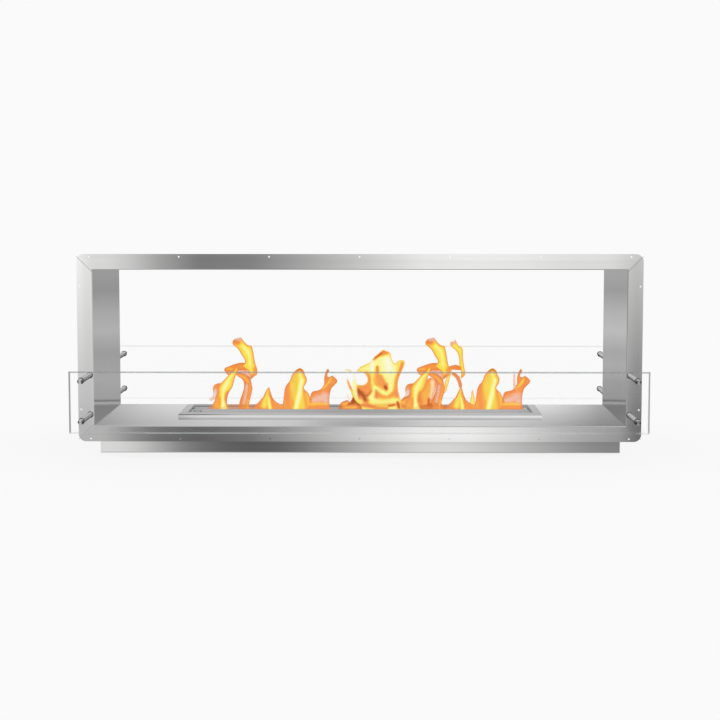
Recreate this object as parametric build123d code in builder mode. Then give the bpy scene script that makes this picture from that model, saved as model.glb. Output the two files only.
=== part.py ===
from build123d import *
import os

os.makedirs("parts", exist_ok=True)

# Double-sided built-in fireplace in folded stainless steel, in millimetres.
# X runs along the fire, Y from the front face to the back, Z up.
# The origin is the middle of the base's underside.

# Casing: four folded sheets round a tunnel that is open at the front and the back
casing_width = 1524
casing_height = 508
casing_depth = 500
casing_sheet = 1.5
casing_bend = 2.5
front_flange = 42.5
rear_side_flange = 25
rear_edge_flange = 14
front_corner_radius = 20
rear_corner_radius = 8

# Screw holes round the front flange
screw_hole_radius = 2.4
screw_hole_edge = 7.5
row_hole_count = 7
row_end_margin = 33
side_hole_margin = 87

# Base under the floor, which houses the burner
base_height = 88
base_setback = 100
base_sheet = 1.5
base_bend = 2.5
base_lip = 12
base_end_inset = 1
base_seat_clearance = 0.3

# Burner, dropped into the floor
burner_length = 1012
burner_width = 242
rim_height = 15
rim_sheet = 1.5
rim_bend = 2.5
rim_end_strip = 26
rim_side_strip = 58
rim_clearance = 0.5
burner_sheet = 1.2
deck_sheet = 1.5
gasket_thickness = 2
flange_overlap = 16
cutout_radius = 5
tray_clearance = 2.5
tray_floor_gap = 18
tank_gap = 6
burner_bend = 3
screen_sheet = 1
screen_margin = 8
screen_hole_length = 48
screen_hole_width = 9
screen_hole_pitch = 60
screen_row_pitch = 20
screen_row_count = 2
wool_block_count = 3
wool_clearance = 0.6

# Sliding lid that snuffs the fire, and the slot that it covers
slot_width = 46
slot_end_margin = 14
slot_edge_margin = 2.5
slot_corner_radius = 5
lid_width = 75
lid_sheet = 1.5
lid_bend = 2
lid_sink = 0.8
lid_running_gap = 0.3
lid_end_clearance = 0.5
hook_ear_length = 24
hook_ear_height = 6
hook_ear_inset = 10
hook_slot_length = 12
hook_slot_height = 3

# Glass guards, one on each side
glass_thickness = 6
glass_height = 164
glass_side_margin = 1
glass_drop = 1
glass_edge_chamfer = 0.8
glass_hole_radius = 5.2

# Standoffs that carry the glass in front of each flange
barrel_length = 146
barrel_radius = 7
standoff_inset = 10
lower_standoff_height = 31
upper_standoff_height = 138
stud_radius = 3
stud_clearance = 0.2
stud_tail = 2
cap_thickness = 10
cap_wall = 2.5
cap_chamfer = 1.2
pad_thickness = 1
pad_radius = 6.7
pad_spigot_clearance = 0.3
washer_radius = 6.5
washer_thickness = 1.2
nut_across_flats = 10
nut_thickness = 5
bore_side_count = 8
pad_side_count = 16
washer_side_count = 12

# Places worked out from the sizes
screw_hole_pitch = (casing_width - 2 * row_end_margin) / (row_hole_count - 1)
floor_top = base_height
floor_underside = floor_top - casing_sheet
inner_half_width = casing_width / 2 - front_flange
inner_half_height = casing_height / 2 - front_flange
casing_middle = floor_top + inner_half_height
ceiling_underside = casing_middle + inner_half_height
base_half_depth = casing_depth / 2 - base_setback
base_half_length = inner_half_width - base_end_inset

gasket_bottom = floor_top
tray_flange_bottom = gasket_bottom + gasket_thickness
tank_flange_bottom = tray_flange_bottom + burner_sheet
deck_bottom = tank_flange_bottom + burner_sheet
deck_top = deck_bottom + deck_sheet
rim_top = floor_top + rim_height
stack_length = burner_length - 2 * (rim_sheet + rim_clearance)
stack_width = burner_width - 2 * (rim_sheet + rim_clearance)
cutout_length = burner_length - 2 * flange_overlap
cutout_width = burner_width - 2 * flange_overlap
tray_length = cutout_length - 2 * tray_clearance
tray_width = cutout_width - 2 * tray_clearance
tray_bottom = base_sheet + tray_floor_gap
tank_length = tray_length - 2 * (burner_sheet + tank_gap)
tank_width = tray_width - 2 * (burner_sheet + tank_gap)
tank_bottom = tray_bottom + burner_sheet + tank_gap

recess_length = burner_length - 2 * rim_end_strip
recess_width = burner_width - 2 * rim_side_strip
slot_length = recess_length - 2 * slot_end_margin
slot_centre = recess_width / 2 - slot_edge_margin - slot_width / 2
lid_length = recess_length - 2 * lid_end_clearance
lid_rest_y = -recess_width / 2 + lid_end_clearance + lid_width / 2
lid_travel = recess_width - 2 * lid_end_clearance - lid_width
lid_bottom = deck_top + lid_running_gap
lid_top = rim_top - lid_sink

standoff_x = inner_half_width + standoff_inset
glass_width = casing_width - 2 * glass_side_margin
glass_middle = floor_top - glass_drop + glass_height / 2
glass_back = barrel_length + pad_thickness
cap_back = glass_back + glass_thickness + pad_thickness
stud_bore_radius = stud_radius + stud_clearance
stud_start = -(casing_sheet + washer_thickness + nut_thickness + stud_tail)
stud_end = cap_back + cap_thickness - cap_wall - stud_clearance

# Planes on the two faces of the casing, each looking out of its own side
front_plane = Plane(origin=(0, -casing_depth / 2, casing_middle), x_dir=(1, 0, 0), z_dir=(0, -1, 0))
rear_plane = Plane(origin=(0, casing_depth / 2, casing_middle), x_dir=(-1, 0, 0), z_dir=(0, 1, 0))
standoff_points = [
    (side * standoff_x, floor_top + height - casing_middle)
    for side in (-1, 1)
    for height in (lower_standoff_height, upper_standoff_height)
]

# Planes across each panel, with local x to the back and local y away from the fire
ceiling_face = Plane(origin=(0, 0, ceiling_underside), x_dir=(0, 1, 0), z_dir=(1, 0, 0))
floor_face = Plane(origin=(0, 0, floor_top), x_dir=(0, 1, 0), z_dir=(-1, 0, 0))
left_face = Plane(origin=(-inner_half_width, 0, casing_middle), x_dir=(0, 1, 0), z_dir=(0, 0, 1))
right_face = Plane(origin=(inner_half_width, 0, casing_middle), x_dir=(0, 1, 0), z_dir=(0, 0, -1))


def outward(distance):
    """Both face planes, moved out of the casing by the same distance."""
    return front_plane.offset(distance), rear_plane.offset(distance)


def panel_section(face, rear_flange):
    """A panel's section: a web with a flange turned away from the fire at each end."""
    with BuildSketch(face) as section:
        with BuildLine():
            FilletPolyline(
                (-casing_depth / 2, front_flange),
                (-casing_depth / 2, 0),
                (casing_depth / 2, 0),
                (casing_depth / 2, rear_flange),
                radius=casing_bend,
            )
            offset(amount=casing_sheet, side=Side.LEFT)
        make_face()
    return section.sketch


def fold_panel(face, half_run, rear_flange):
    """Extrude the section, mitre its ends, round the outer corners and punch the flanges."""
    extrude(panel_section(face, rear_flange), amount=half_run + front_flange, both=True)
    for end in (-1, 1):
        corner = face.origin + face.z_dir * end * half_run
        mitre = Plane(origin=corner, z_dir=face.y_dir - face.z_dir * end)
        split(bisect_by=mitre, keep=Keep.TOP)
    add(casing_envelope.part, mode=Mode.INTERSECT)
    extrude(screw_holes.sketch, amount=-casing_sheet, mode=Mode.SUBTRACT)
    extrude(standoff_holes.sketch, amount=-casing_sheet, mode=Mode.SUBTRACT)


def folded_pan(length, width, bottom, flange_bottom):
    """A deep pan with bent long sides, welded ends and a flat flange round its mouth."""
    with BuildSketch(Plane.XY.offset(flange_bottom)) as mouth:
        Rectangle(length, width)
    extrude(mouth.sketch, amount=bottom - flange_bottom)
    with BuildSketch(Plane.XY.offset(flange_bottom + burner_sheet)) as flange:
        Rectangle(stack_length, stack_width)
    extrude(flange.sketch, amount=-burner_sheet)
    with BuildSketch(Plane.XY.offset(bottom + burner_sheet)) as inside:
        Rectangle(length - 2 * burner_sheet, width - 2 * burner_sheet)
    extrude(inside.sketch, amount=flange_bottom - bottom, mode=Mode.SUBTRACT)
    fillet(edges().filter_by(Axis.X).group_by(Axis.Z)[0], burner_bend)
    fillet(edges().filter_by(Axis.X).group_by(Axis.Z)[1], burner_bend - burner_sheet)


# Everything outside these rounded outlines is trimmed from the panels
with BuildPart() as casing_envelope:
    with BuildSketch(front_plane):
        RectangleRounded(casing_width, casing_height, front_corner_radius)
    extrude(amount=-casing_depth / 2)
    with BuildSketch(rear_plane):
        RectangleRounded(
            2 * (inner_half_width + rear_side_flange),
            2 * (inner_half_height + rear_edge_flange),
            rear_corner_radius,
        )
    extrude(amount=-casing_depth / 2)

# Holes for the wall screws: a row along the top and the bottom, and a pair on each side
with BuildSketch(front_plane) as screw_holes:
    for row in (-1, 1):
        with Locations((0, row * (casing_height / 2 - screw_hole_edge))):
            with GridLocations(screw_hole_pitch, screw_hole_pitch, row_hole_count, 1):
                Circle(screw_hole_radius)
    with GridLocations(casing_width - 2 * screw_hole_edge, casing_height - 2 * side_hole_margin, 2, 2):
        Circle(screw_hole_radius)

# Holes for the standoff studs in the front and the rear flanges
with BuildSketch(front_plane, rear_plane) as standoff_holes:
    with Locations(*standoff_points):
        RegularPolygon(stud_bore_radius, bore_side_count, major_radius=False)

# Casing panels
with BuildPart() as ceiling_panel:
    fold_panel(ceiling_face, inner_half_width, rear_edge_flange)
ceiling_panel.part.label = "ceiling_panel"
export_step(ceiling_panel.part, "parts/ceiling_panel.step")

with BuildPart() as left_wall:
    fold_panel(left_face, inner_half_height, rear_side_flange)
left_wall.part.label = "left_wall"
export_step(left_wall.part, "parts/left_wall.step")

with BuildPart() as right_wall:
    fold_panel(right_face, inner_half_height, rear_side_flange)
right_wall.part.label = "right_wall"
export_step(right_wall.part, "parts/right_wall.step")

with BuildPart() as floor_panel:
    fold_panel(floor_face, inner_half_width, rear_edge_flange)
    with BuildSketch(Plane.XY.offset(floor_top)):
        RectangleRounded(cutout_length, cutout_width, cutout_radius)
    extrude(amount=-casing_sheet, mode=Mode.SUBTRACT)
floor_panel.part.label = "floor_panel"
export_step(floor_panel.part, "parts/floor_panel.step")

# Base: a trough with lips spot-welded under the floor, closed by a plate at each end
with BuildPart() as base_channel:
    with BuildSketch(Plane.YZ):
        with BuildLine():
            FilletPolyline(
                (-base_half_depth - base_lip, floor_underside - base_sheet),
                (-base_half_depth, floor_underside - base_sheet),
                (-base_half_depth, 0),
                (base_half_depth, 0),
                (base_half_depth, floor_underside - base_sheet),
                (base_half_depth + base_lip, floor_underside - base_sheet),
                radius=base_bend,
            )
            offset(amount=base_sheet, side=Side.LEFT)
        make_face()
    extrude(amount=base_half_length, both=True)
base_channel.part.label = "base_channel"
export_step(base_channel.part, "parts/base_channel.step")

end_plate_width = 2 * (base_half_depth - base_sheet - base_seat_clearance)
end_plate_height = floor_underside - base_sheet - 2 * base_seat_clearance
end_plate_middle = base_sheet + base_seat_clearance + end_plate_height / 2

with BuildPart() as base_end_right:
    with BuildSketch(Plane.YZ.offset(base_half_length)):
        with Locations((0, end_plate_middle)):
            Rectangle(end_plate_width, end_plate_height)
        chamfer(vertices(), base_bend)
    extrude(amount=-base_sheet)
base_end_right.part.label = "base_end_right"
export_step(base_end_right.part, "parts/base_end_right.step")

with BuildPart() as base_end_left:
    mirror(base_end_right.part, about=Plane.YZ)
base_end_left.part.label = "base_end_left"
export_step(base_end_left.part, "parts/base_end_left.step")

# Heat-proof gasket between the floor and the burner
with BuildPart() as burner_gasket:
    with BuildSketch(Plane.XY.offset(gasket_bottom)):
        Rectangle(stack_length, stack_width)
        RectangleRounded(cutout_length, cutout_width, cutout_radius, mode=Mode.SUBTRACT)
    extrude(amount=gasket_thickness)
burner_gasket.part.label = "burner_gasket"
export_step(burner_gasket.part, "parts/burner_gasket.step")

# Outer tray, which catches any fuel that is spilled
with BuildPart() as overflow_tray:
    folded_pan(tray_length, tray_width, tray_bottom, tray_flange_bottom)
overflow_tray.part.label = "overflow_tray"
export_step(overflow_tray.part, "parts/overflow_tray.step")

# Inner tank, which holds the fuel
with BuildPart() as fuel_tank:
    folded_pan(tank_length, tank_width, tank_bottom, tank_flange_bottom)
fuel_tank.part.label = "fuel_tank"
export_step(fuel_tank.part, "parts/fuel_tank.step")

# Ceramic wool blocks that soak up the fuel and fill the tank to just under the deck
wool_bottom = tank_bottom + burner_sheet + wool_clearance
wool_top = deck_bottom - screen_sheet - wool_clearance
wool_space_length = tank_length - 2 * (burner_sheet + wool_clearance)
wool_width = tank_width - 2 * (burner_sheet + wool_clearance)
wool_pitch = wool_space_length / wool_block_count
with BuildPart() as fuel_wool:
    with BuildSketch(Plane.XY.offset(wool_bottom)):
        with GridLocations(wool_pitch, wool_pitch, wool_block_count, 1):
            Rectangle(wool_pitch - wool_clearance, wool_width)
    extrude(amount=wool_top - wool_bottom)
fuel_wool.part.label = "fuel_wool"
export_step(fuel_wool.part, "parts/fuel_wool.step")

# Punched screen, spot-welded under the slot to hold the wool down
screen_length = slot_length + 2 * screen_margin
screen_width = slot_width + 2 * screen_margin
screen_column_count = int((slot_length - screen_margin) // screen_hole_pitch)
with BuildPart() as wool_screen:
    with BuildSketch(Plane.XY.offset(deck_bottom)):
        with Locations((0, slot_centre)):
            Rectangle(screen_length, screen_width)
            with GridLocations(screen_hole_pitch, screen_row_pitch, screen_column_count, screen_row_count):
                Rectangle(screen_hole_length, screen_hole_width, mode=Mode.SUBTRACT)
    extrude(amount=-screen_sheet)
wool_screen.part.label = "wool_screen"
export_step(wool_screen.part, "parts/wool_screen.step")

# Deck with the fire slot behind its centre line
with BuildPart() as burner_deck:
    with BuildSketch(Plane.XY.offset(deck_bottom)):
        Rectangle(stack_length, stack_width)
        with Locations((0, slot_centre)):
            RectangleRounded(slot_length, slot_width, slot_corner_radius, mode=Mode.SUBTRACT)
    extrude(amount=deck_sheet)
burner_deck.part.label = "burner_deck"
export_step(burner_deck.part, "parts/burner_deck.step")

# Rim: a folded frame with an apron down to the floor and lips down to the deck
with BuildPart() as burner_rim:
    with BuildSketch(Plane.XY.offset(floor_top)):
        Rectangle(burner_length, burner_width)
        Rectangle(recess_length, recess_width, mode=Mode.SUBTRACT)
    extrude(amount=rim_height)
    fillet(burner_rim.edges().group_by(Axis.Z)[-1], rim_bend - rim_sheet / 2)
    with BuildSketch(Plane.XY.offset(floor_top)):
        Rectangle(burner_length - 2 * rim_sheet, burner_width - 2 * rim_sheet)
        Rectangle(recess_length + 2 * rim_sheet, recess_width + 2 * rim_sheet, mode=Mode.SUBTRACT)
    extrude(amount=rim_height - rim_sheet, mode=Mode.SUBTRACT)
    with BuildSketch(Plane.XY.offset(floor_top)):
        Rectangle(burner_length - 2 * rim_sheet, burner_width - 2 * rim_sheet)
    extrude(amount=deck_top - floor_top, mode=Mode.SUBTRACT)
burner_rim.part.label = "burner_rim"
export_step(burner_rim.part, "parts/burner_rim.step")

# Snuffer lid: a shallow upturned pan that slides over the slot, with two ears for a hook
with BuildPart() as snuffer_lid:
    with BuildSketch(Plane.XY.offset(lid_bottom)):
        with Locations((0, lid_rest_y)):
            Rectangle(lid_length, lid_width)
    extrude(amount=lid_top - lid_bottom)
    fillet(snuffer_lid.edges().group_by(Axis.Z)[-1], lid_bend)
    with BuildSketch(Plane.XY.offset(lid_bottom)):
        with Locations((0, lid_rest_y)):
            Rectangle(lid_length - 2 * lid_sheet, lid_width - 2 * lid_sheet)
    extrude(amount=lid_top - lid_sheet - lid_bottom, mode=Mode.SUBTRACT)
    ear_plane = Plane(
        origin=(0, lid_rest_y - lid_width / 2 + lid_bend, lid_top), x_dir=(1, 0, 0), z_dir=(0, -1, 0)
    )
    ear_x = lid_length / 2 - hook_ear_inset - hook_ear_length / 2
    with BuildSketch(ear_plane.offset(-lid_sheet)):
        for side in (-1, 1):
            with Locations((side * ear_x, (hook_ear_height - lid_sheet) / 2)):
                Rectangle(hook_ear_length, hook_ear_height + lid_sheet)
            with Locations((side * ear_x, hook_ear_height / 2)):
                Rectangle(hook_slot_length, hook_slot_height, mode=Mode.SUBTRACT)
    extrude(amount=lid_sheet)
snuffer_lid.part.label = "snuffer_lid"
export_step(snuffer_lid.part, "parts/snuffer_lid.step")

# Glass guards: toughened panes with ground edges and four holes each
with BuildPart() as front_glass:
    with BuildSketch(front_plane.offset(glass_back)):
        with Locations((0, glass_middle - casing_middle)):
            Rectangle(glass_width, glass_height)
        with Locations(*standoff_points):
            RegularPolygon(glass_hole_radius, pad_side_count, major_radius=False, mode=Mode.SUBTRACT)
    extrude(amount=glass_thickness)
    pane_faces = front_glass.faces().sort_by(Axis.Y)
    chamfer(pane_faces[0].outer_wire().edges() + pane_faces[-1].outer_wire().edges(), glass_edge_chamfer)
front_glass.part.label = "front_glass"
export_step(front_glass.part, "parts/front_glass.step")

with BuildPart() as rear_glass:
    mirror(front_glass.part, about=Plane.XZ)
rear_glass.part.label = "rear_glass"
export_step(rear_glass.part, "parts/rear_glass.step")

# Standoff barrels between the flanges and the glass
with BuildPart() as standoff_barrels:
    with BuildSketch(*outward(0)):
        with Locations(*standoff_points):
            Circle(barrel_radius)
            RegularPolygon(stud_bore_radius, bore_side_count, major_radius=False, mode=Mode.SUBTRACT)
    extrude(amount=barrel_length)
standoff_barrels.part.label = "standoff_barrels"
export_step(standoff_barrels.part, "parts/standoff_barrels.step")

# Studs from behind the flanges, through the barrels and the glass, into the caps
with BuildPart() as standoff_studs:
    with BuildSketch(*outward(stud_start)):
        with Locations(*standoff_points):
            RegularPolygon(stud_radius, bore_side_count)
    extrude(amount=stud_end - stud_start)
standoff_studs.part.label = "standoff_studs"
export_step(standoff_studs.part, "parts/standoff_studs.step")

# Soft pads behind the glass, each with a spigot that centres the stud in the glass hole
with BuildPart() as inner_glass_pads:
    with BuildSketch(*outward(barrel_length)):
        with Locations(*standoff_points):
            RegularPolygon(pad_radius, pad_side_count)
            RegularPolygon(stud_bore_radius, bore_side_count, major_radius=False, mode=Mode.SUBTRACT)
    extrude(amount=pad_thickness)
    with BuildSketch(*outward(glass_back)):
        with Locations(*standoff_points):
            RegularPolygon(glass_hole_radius - pad_spigot_clearance, bore_side_count)
            RegularPolygon(stud_bore_radius, bore_side_count, major_radius=False, mode=Mode.SUBTRACT)
    extrude(amount=glass_thickness - pad_spigot_clearance)
inner_glass_pads.part.label = "inner_glass_pads"
export_step(inner_glass_pads.part, "parts/inner_glass_pads.step")

# Soft pads between the glass and the caps
with BuildPart() as outer_glass_pads:
    with BuildSketch(*outward(glass_back + glass_thickness)):
        with Locations(*standoff_points):
            RegularPolygon(pad_radius, pad_side_count)
            RegularPolygon(stud_bore_radius, bore_side_count, major_radius=False, mode=Mode.SUBTRACT)
    extrude(amount=pad_thickness)
outer_glass_pads.part.label = "outer_glass_pads"
export_step(outer_glass_pads.part, "parts/outer_glass_pads.step")

# Screw-on caps with a bevelled face and a blind bore for the stud
with BuildPart() as standoff_caps:
    with BuildSketch(*outward(cap_back)):
        with Locations(*standoff_points):
            Circle(barrel_radius)
    extrude(amount=cap_thickness)
    chamfer(standoff_caps.edges().group_by(Axis.Y)[0], cap_chamfer)
    chamfer(standoff_caps.edges().group_by(Axis.Y)[-1], cap_chamfer)
    with BuildSketch(*outward(cap_back)):
        with Locations(*standoff_points):
            RegularPolygon(stud_bore_radius, bore_side_count, major_radius=False)
    extrude(amount=cap_thickness - cap_wall, mode=Mode.SUBTRACT)
standoff_caps.part.label = "standoff_caps"
export_step(standoff_caps.part, "parts/standoff_caps.step")

# Washers and nuts behind the flanges
with BuildPart() as flange_washers:
    with BuildSketch(*outward(-casing_sheet)):
        with Locations(*standoff_points):
            RegularPolygon(washer_radius, washer_side_count)
            RegularPolygon(stud_bore_radius, bore_side_count, major_radius=False, mode=Mode.SUBTRACT)
    extrude(amount=-washer_thickness)
flange_washers.part.label = "flange_washers"
export_step(flange_washers.part, "parts/flange_washers.step")

with BuildPart() as flange_nuts:
    with BuildSketch(*outward(-casing_sheet - washer_thickness)):
        with Locations(*standoff_points):
            RegularPolygon(nut_across_flats / 2, 6, major_radius=False)
            RegularPolygon(stud_bore_radius, bore_side_count, major_radius=False, mode=Mode.SUBTRACT)
    extrude(amount=-nut_thickness)
flange_nuts.part.label = "flange_nuts"
export_step(flange_nuts.part, "parts/flange_nuts.step")

print("lid travel", round(lid_travel, 3), "slot centre", round(slot_centre, 3))
print("glass plane", round(glass_back, 3), "to", round(glass_back + glass_thickness, 3))
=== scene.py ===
import math

import bpy
import numpy as np
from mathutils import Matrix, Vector
from mathutils.geometry import delaunay_2d_cdt


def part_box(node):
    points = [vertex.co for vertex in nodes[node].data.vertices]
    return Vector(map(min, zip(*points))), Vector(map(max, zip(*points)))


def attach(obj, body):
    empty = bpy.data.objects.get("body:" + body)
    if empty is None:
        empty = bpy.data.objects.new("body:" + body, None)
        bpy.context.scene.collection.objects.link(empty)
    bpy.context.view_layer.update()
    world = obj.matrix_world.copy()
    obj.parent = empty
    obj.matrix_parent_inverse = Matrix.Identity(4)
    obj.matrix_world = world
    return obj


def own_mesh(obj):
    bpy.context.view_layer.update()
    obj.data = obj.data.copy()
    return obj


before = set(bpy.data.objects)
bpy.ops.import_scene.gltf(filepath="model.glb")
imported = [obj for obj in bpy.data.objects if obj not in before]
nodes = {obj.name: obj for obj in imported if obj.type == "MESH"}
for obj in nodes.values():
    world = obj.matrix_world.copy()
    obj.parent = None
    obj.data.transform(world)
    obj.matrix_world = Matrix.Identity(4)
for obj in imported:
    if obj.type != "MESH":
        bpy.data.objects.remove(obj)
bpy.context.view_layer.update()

# Double-sided fireplace, dressed for a studio picture.
# Metres, in the frame of the model: X along the fire, Y from front to back, Z up.

MM = 0.001
black = (0.0, 0.0, 0.0)


def grey(level):
    return (level, level, level)


# Shader tools


class Value:
    """A node's output that can be used in Python sums; each operation adds a Math node."""

    def __init__(self, shader, socket):
        self.shader = shader
        self.socket = socket

    def maths(self, operation, *values):
        return self.shader.add("ShaderNodeMath", {"operation": operation}, dict(enumerate(values)))

    def __add__(self, other):
        return self.maths("ADD", self, other)

    def __sub__(self, other):
        return self.maths("SUBTRACT", self, other)

    def __rsub__(self, other):
        return self.maths("SUBTRACT", other, self)

    def __mul__(self, other):
        return self.maths("MULTIPLY", self, other)

    def __abs__(self):
        return self.maths("ABSOLUTE", self)

    __radd__ = __add__
    __rmul__ = __mul__

    def above(self, other):
        return self.maths("GREATER_THAN", self, other)

    def larger(self, other):
        return self.maths("MAXIMUM", self, other)

    def spread(self, low, high, to_low=0.0, to_high=1.0):
        """Carry low..high to to_low..to_high, and hold it there outside."""
        places = dict(enumerate((self, low, high, to_low, to_high)))
        return self.shader.add("ShaderNodeMapRange", {"clamp": True}, places)


class Shader:
    """The nodes of one material, or of the world."""

    def __init__(self, owner):
        owner.use_nodes = True
        self.tree = owner.node_tree
        self.tree.nodes.clear()

    def add(self, kind, settings=None, inputs=None, output=0):
        """Add one node, with its inputs linked to Values or filled, and give its output."""
        node = self.tree.nodes.new(kind)
        for name, value in (settings or {}).items():
            if name == "stops":
                set_stops(node.color_ramp, value)
            else:
                setattr(node, name, value)
        for name, value in (inputs or {}).items():
            if isinstance(value, Value):
                self.tree.links.new(value.socket, node.inputs[name])
            else:
                node.inputs[name].default_value = value
        return Value(self, node.outputs[output]) if node.outputs else node

    def several(self, kind, names, inputs=None):
        """The outputs of one new node that have these names."""
        node = self.add(kind, None, inputs).socket.node
        return [Value(self, node.outputs[name]) for name in names]

    def place(self, scale=(1, 1, 1)):
        """The place on the object in metres, stretched by scale."""
        where = self.add("ShaderNodeTexCoord", output="Object")
        return self.add("ShaderNodeMapping", None, {"Vector": where, "Scale": scale})

    def noise(self, scale, detail=2.0, roughness=0.5):
        """Soft noise round 0.5, with about scale spots to the metre along each axis."""
        return self.add(
            "ShaderNodeTexNoise",
            None,
            {"Vector": self.place(scale), "Scale": 1.0, "Detail": detail, "Roughness": roughness},
        )

    def blend(self, factor, low, high):
        """A colour between low and high."""
        ends = [end if isinstance(end, Value) else (*end, 1) for end in (low, high)]
        return self.add(
            "ShaderNodeMix",
            {"data_type": "RGBA"},
            {"Factor": factor, "A": ends[0], "B": ends[1]},
            output="Result",
        )

    def axes(self):
        """The place on the object in metres, as three values."""
        return self.several("ShaderNodeSeparateXYZ", "XYZ", {"Vector": self.place()})

    def ramp(self, factor, stops):
        """The colour that the stops give for a factor from 0 to 1."""
        return self.add("ShaderNodeValToRGB", {"stops": stops}, {"Fac": factor})

    def bump(self, height, distance, strength):
        places = {"Height": height, "Distance": distance, "Strength": strength}
        return self.add("ShaderNodeBump", None, places)

    def surface(self, **inputs):
        """Finish the material with one Principled shader; names use _ for a space."""
        named = {name.replace("_", " "): value for name, value in inputs.items()}
        if "Base Color" in named and not isinstance(named["Base Color"], Value):
            named["Base Color"] = (*named["Base Color"], 1)
        shaded = self.add("ShaderNodeBsdfPrincipled", None, named)
        self.add("ShaderNodeOutputMaterial", None, {"Surface": shaded})


def set_stops(ramp, stops):
    """Set a ramp's stops from (place, value or colour) pairs."""
    while len(ramp.elements) > 1:
        ramp.elements.remove(ramp.elements[0])
    for index, (place, value) in enumerate(stops):
        colour = grey(value) if isinstance(value, (int, float)) else value
        stop = ramp.elements[0] if index == 0 else ramp.elements.new(place)
        stop.position = place
        stop.color = (*colour, 1)


def new_material(name):
    material = bpy.data.materials.new(name)
    return material, Shader(material)


# Finishes

mark_depth = 0.0000025


def marks_along(run, lengthways, across):
    """Noise scales for marks that follow the axis run, 0 for X, 1 for Y and 2 for Z."""
    scales = [across] * 3
    scales[run] = lengthways
    return scales


def darkened(shader, colour, darken):
    """The colour, carried towards black by the painted shade that darken gives for each place, from 0 to 1.
    """
    return shader.blend(darken(shader), colour, black) if darken else colour


def brushed_steel(name, tint, rough, run, grazing=1.0, lean=0.0, darken=None):
    """Stainless steel with fine brush marks that follow the axis run.

    grazing is how much it mirrors at a flat angle, and lean tips its upright faces down by that slope.
    """
    material, shader = new_material(name)
    marks = shader.noise(marks_along(run, lengthways=5.0, across=1400.0), detail=3.0, roughness=0.65)
    bands = shader.noise(marks_along(run, lengthways=0.9, across=70.0), detail=2.0)
    clouds = shader.noise((9, 9, 9), detail=2.0)
    dark = [0.93 * c for c in tint]
    light = [min(1.0, 1.05 * c) for c in tint]
    shade = (bands * 0.65 + marks * 0.35).spread(0.3, 0.7)
    relief = marks * mark_depth + shader.axes()[2] * lean
    shader.surface(
        Base_Color=darkened(shader, shader.blend(shade, dark, light), darken),
        Metallic=1.0,
        Roughness=rough * (1.0 + (marks - 0.5) * 0.7 + (clouds - 0.5) * 0.4),
        Specular_Tint=(*grey(grazing), 1.0),
        Normal=shader.bump(relief, 1.0, 1.0),
    )
    return material


rim_low, rim_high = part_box("burner_rim")
lid_low, lid_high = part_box("snuffer_lid")
side_turn = (6.5 * MM, 10.5 * MM)  # below the rim's top, where its folded sides turn dark
side_dark = 0.36
top_depth = 1.6 * MM  # a little more than the rim's sheet
fold_end = (9.0 * MM, 12.0 * MM)  # behind the rim's front, where the shade on its front fold ends
fold_run = (-0.44, -0.33)  # along X, where the shade on the front fold fades to the right
fold_dark = (0.8, 0.1)
recess_start = (-9.0 * MM, -7.0 * MM)  # measured back from the lid's front edge
recess_end = (5.0 * MM, 7.0 * MM)  # beyond the lid's ends
recess_dark = 0.9
rear_wall = 63.0 * MM  # the back of the lid's recess
rear_wall_front = (3.0 * MM, 5.0 * MM)  # in front of it, where its shade ends
rear_wall_back = (5.0 * MM, 7.0 * MM)  # and behind it
rear_wall_turn = (2.0 * MM, 2.8 * MM)  # below the rim's top
rear_wall_dark = 0.42


def rim_shade(shader):
    """Shade on the rim's sides, on its front fold, in front of the lid and on the wall behind the slot."""
    x, y, z = shader.axes()
    depth = rim_high.z - z
    sides = depth.spread(*side_turn, 0.0, side_dark)
    top = z.above(rim_high.z - top_depth)
    fold = (y - rim_low.y).spread(*fold_end, 1.0, 0.0) * x.spread(*fold_run, *fold_dark)
    recess = (y - lid_low.y).spread(*recess_start) * (abs(x) - lid_high.x).spread(*recess_end, 1.0, 0.0)
    behind = (rear_wall - y).spread(*rear_wall_front, 1.0, 0.0)
    behind = behind * (y - rear_wall).spread(*rear_wall_back, 1.0, 0.0)
    behind = behind * depth.spread(*rear_wall_turn, 0.0, rear_wall_dark)
    return sides.larger(top * fold.larger(recess * recess_dark)).larger(behind)


standoff_radius = 7.0 * MM
# Where painted shade darkens its cap and its barrel, in radii from its axis.
cap_sides = (0.3, 0.6)
cap_band_foot = (-0.8, -0.4)
cap_band_top = (0.3, 0.7)
cap_dark = 0.92
barrel_edge = (-1.36, -0.57)
barrel_dark = 0.85


def from_standoff_axis(shader, node):
    """How far out to the side and how far up a place lies from its standoff's axis, in radii."""
    x, _, z = shader.axes()
    low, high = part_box(node)
    foot_row, top_row = low.z + standoff_radius, high.z - standoff_radius
    row = foot_row + z.above((foot_row + top_row) / 2) * (top_row - foot_row)
    out = (abs(x) - (high.x - standoff_radius)) * (1 / standoff_radius)
    up = (z - row) * (1 / standoff_radius)
    return out, up


def cap_shade(shader):
    """Painted shade on the sides of a polished cap, deepest at half its height and none at its top and
    middle.
    """
    out, up = from_standoff_axis(shader, "standoff_caps")
    band = up.spread(*cap_band_foot) * up.spread(*cap_band_top, 1.0, 0.0)
    return abs(out).spread(*cap_sides) * band * cap_dark


def barrel_shade(shader):
    """Painted shade along the lower edge of a barrel, on the side that faces the opening."""
    out, up = from_standoff_axis(shader, "standoff_barrels")
    return (out + up).spread(*barrel_edge, barrel_dark, 0.0)


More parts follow.
